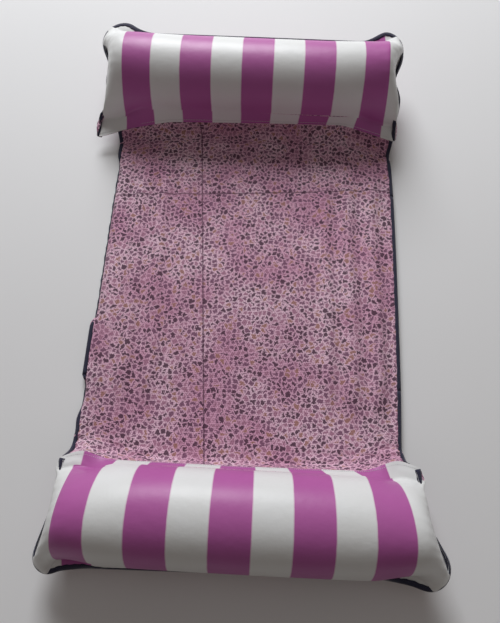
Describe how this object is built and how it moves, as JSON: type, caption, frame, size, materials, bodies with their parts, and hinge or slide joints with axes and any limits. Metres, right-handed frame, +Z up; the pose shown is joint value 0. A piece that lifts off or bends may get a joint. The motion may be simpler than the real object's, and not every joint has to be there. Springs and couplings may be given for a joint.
{
  "type": "inflatable pool float",
  "caption": "Water hammock pool float: a pink net lying panel between two striped inflated bolster pillows, with navy bound edges and push-in valves.",
  "frame": {"origin": "on the floor under the middle of the net panel, at the centre of the bounding box's base", "axes": "+Y runs along the float from the foot pillow to the head pillow, +X across it, +Z up"},
  "size_m": [0.7, 1.1296, 0.1653],
  "materials": {
    "striped_pvc": "soft glossy PVC film, printed with orchid and off-white stripes along the float",
    "net": "knitted polyester net, mottled pink",
    "binding_tape": "woven polyester tape, navy",
    "thread": "polyester sewing thread",
    "valve_plastic": "soft clear-white moulded PVC",
    "label_fabric": "satin label, blank"
  },
  "bodies": {
    "head_panel": {"head_net_panel": "net", "head_side_binding_left": "binding_tape", "head_side_binding_right": "binding_tape", "head_side_stitching": "thread"},
    "head_pillow": {"head_top_sheet": "striped_pvc", "head_bottom_sheet": "striped_pvc", "head_net_cradle": "net", "head_end_binding": "binding_tape", "head_end_stitching": "thread", "head_flange_stitching": "thread", "head_valve_base": "valve_plastic", "head_net_opening_tape": "binding_tape", "care_label": "label_fabric"},
    "head_stem": {"head_valve_stem": "valve_plastic", "head_plug_strap": "valve_plastic"},
    "head_plug": {"head_valve_plug": "valve_plastic"},
    "head_flap": {"head_valve_flap": "valve_plastic"},
    "foot_panel": {"foot_net_panel": "net", "foot_side_binding_left": "binding_tape", "foot_side_binding_right": "binding_tape", "foot_side_stitching": "thread"},
    "foot_pillow": {"foot_top_sheet": "striped_pvc", "foot_bottom_sheet": "striped_pvc", "foot_net_cradle": "net", "foot_end_binding": "binding_tape", "foot_end_stitching": "thread", "foot_flange_stitching": "thread", "foot_valve_base": "valve_plastic", "foot_net_opening_tape": "binding_tape"},
    "foot_stem": {"foot_valve_stem": "valve_plastic", "foot_plug_strap": "valve_plastic"},
    "foot_plug": {"foot_valve_plug": "valve_plastic"},
    "foot_flap": {"foot_valve_flap": "valve_plastic"}
  },
  "joints": [
    {"name": "centre_fold", "type": "hinge", "parent": "foot_panel", "child": "head_panel", "pos_m": [0, 0, 0.0013], "axis": [1, 0, 0], "range_deg": [-25, 95]},
    {"name": "head_pillow_fold", "type": "hinge", "parent": "head_panel", "child": "head_pillow", "pos_m": [0, 0.372, 0.0815], "axis": [1, 0, 0], "range_deg": [-55, 90]},
    {"name": "head_stem_slide", "type": "slide", "parent": "head_pillow", "child": "head_stem", "axis": [0, 0.866, -0.5], "range_m": [0, 0.012]},
    {"name": "head_plug_pull", "type": "slide", "parent": "head_stem", "child": "head_plug", "axis": [0, 0.866, -0.5], "range_m": [0, 0.01]},
    {"name": "head_flap_bend", "type": "hinge", "parent": "head_stem", "child": "head_flap", "pos_m": [-0.2, 0.52104, 0.04608], "axis": [1, 0, 0], "range_deg": [0, 25], "stiffness_Nm_per_rad": 0.001},
    {"name": "foot_pillow_fold", "type": "hinge", "parent": "foot_panel", "child": "foot_pillow", "pos_m": [0, -0.372, 0.0815], "axis": [-1, 0, 0], "range_deg": [-55, 90]},
    {"name": "foot_stem_slide", "type": "slide", "parent": "foot_pillow", "child": "foot_stem", "axis": [0, -0.866, -0.5], "range_m": [0, 0.012]},
    {"name": "foot_plug_pull", "type": "slide", "parent": "foot_stem", "child": "foot_plug", "axis": [0, -0.866, -0.5], "range_m": [0, 0.01]},
    {"name": "foot_flap_bend", "type": "hinge", "parent": "foot_stem", "child": "foot_flap", "pos_m": [0.2, -0.52104, 0.04608], "axis": [-1, 0, 0], "range_deg": [0, 25], "stiffness_Nm_per_rad": 0.001}
  ]
}
